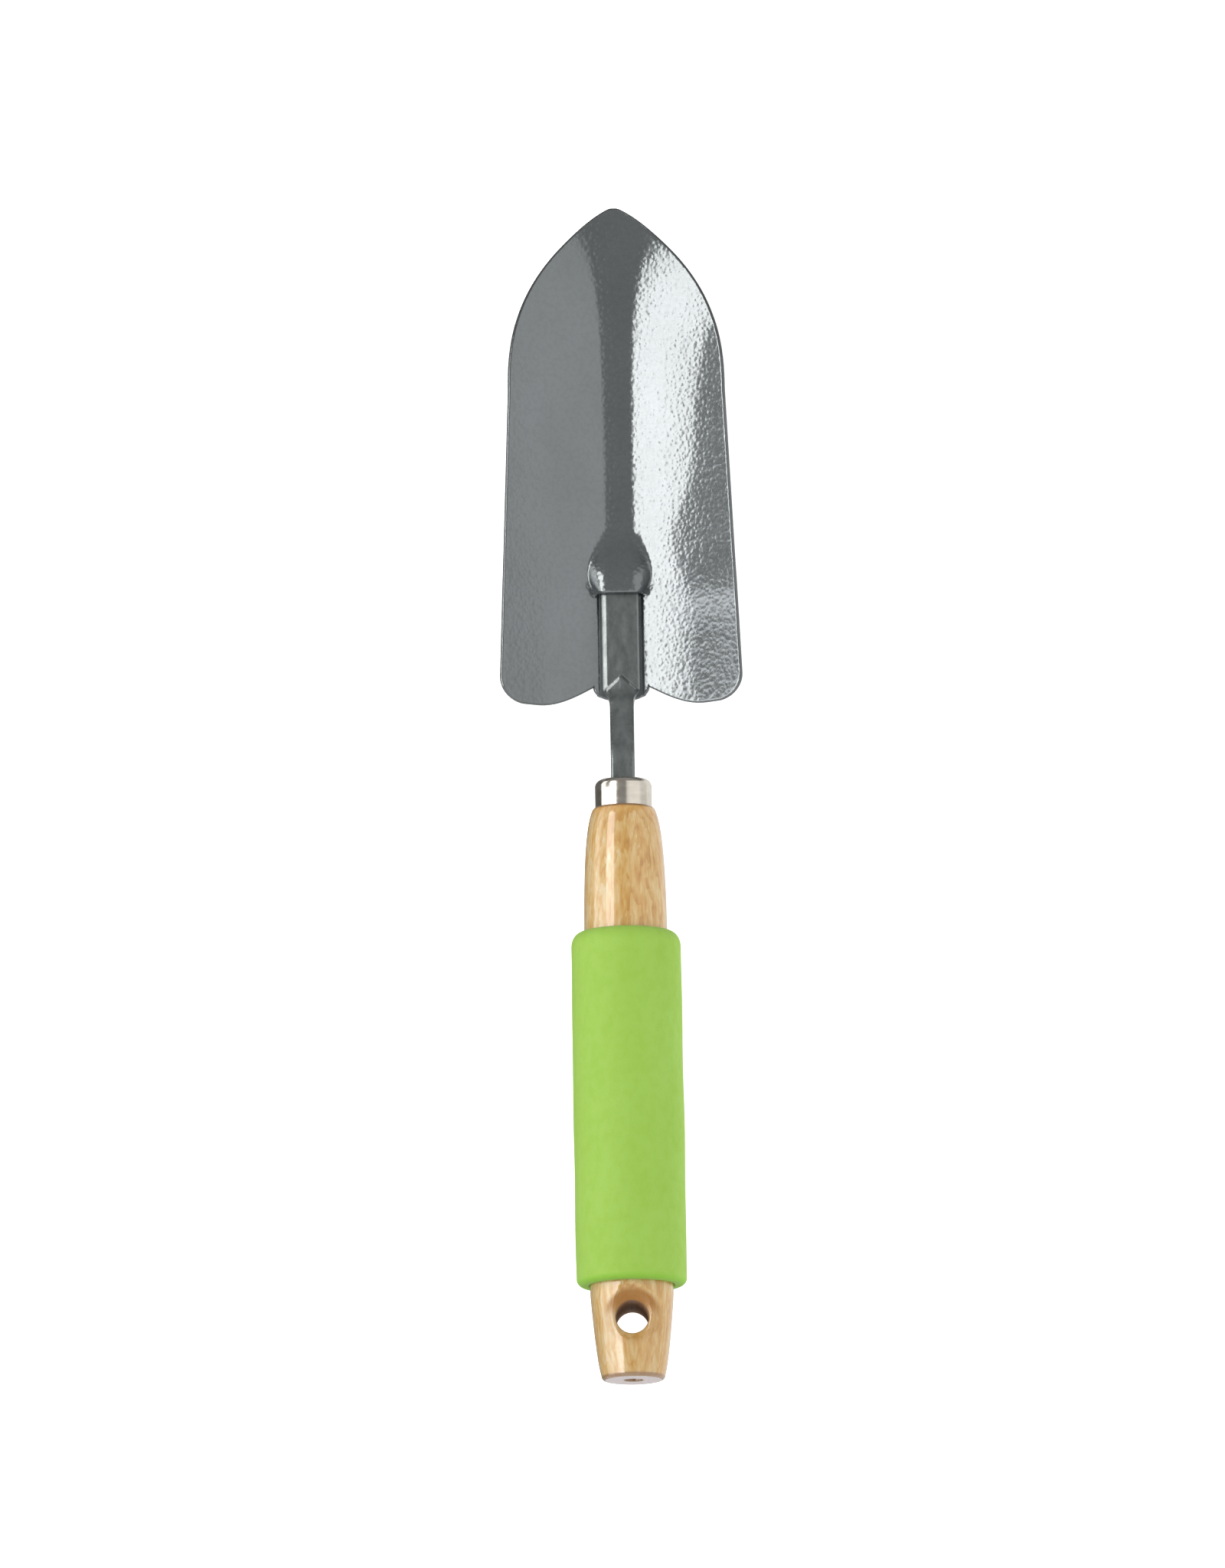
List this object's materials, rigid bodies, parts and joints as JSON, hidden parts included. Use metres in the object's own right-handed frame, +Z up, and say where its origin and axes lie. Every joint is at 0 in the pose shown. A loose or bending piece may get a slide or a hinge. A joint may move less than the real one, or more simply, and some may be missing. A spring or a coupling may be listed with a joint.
{
  "type": "hand trowel",
  "caption": "Hand trowel with a pressed steel blade, a hooded flat shank, a drawn ferrule and a turned wooden handle in a foam sleeve.",
  "frame": {"origin": "centre of the footprint, on the surface that the trowel lies on", "axes": "+Z up out of the hollow of the blade, +Y along the tool towards the tip, +X across it"},
  "size_m": [0.0684, 0.3376, 0.0314],
  "materials": {
    "blade_paint": "gloss",
    "shank_paint": "satin",
    "weld_metal": "satin",
    "ferrule_plate": "polished",
    "varnished_wood": "gloss",
    "green_foam": "matte"
  },
  "bodies": {
    "root": {"blade": "blade_paint", "shank": "shank_paint", "spot_welds": "weld_metal", "ferrule": "ferrule_plate", "handle_core": "varnished_wood", "foam_grip": "green_foam"}
  },
  "joints": []
}
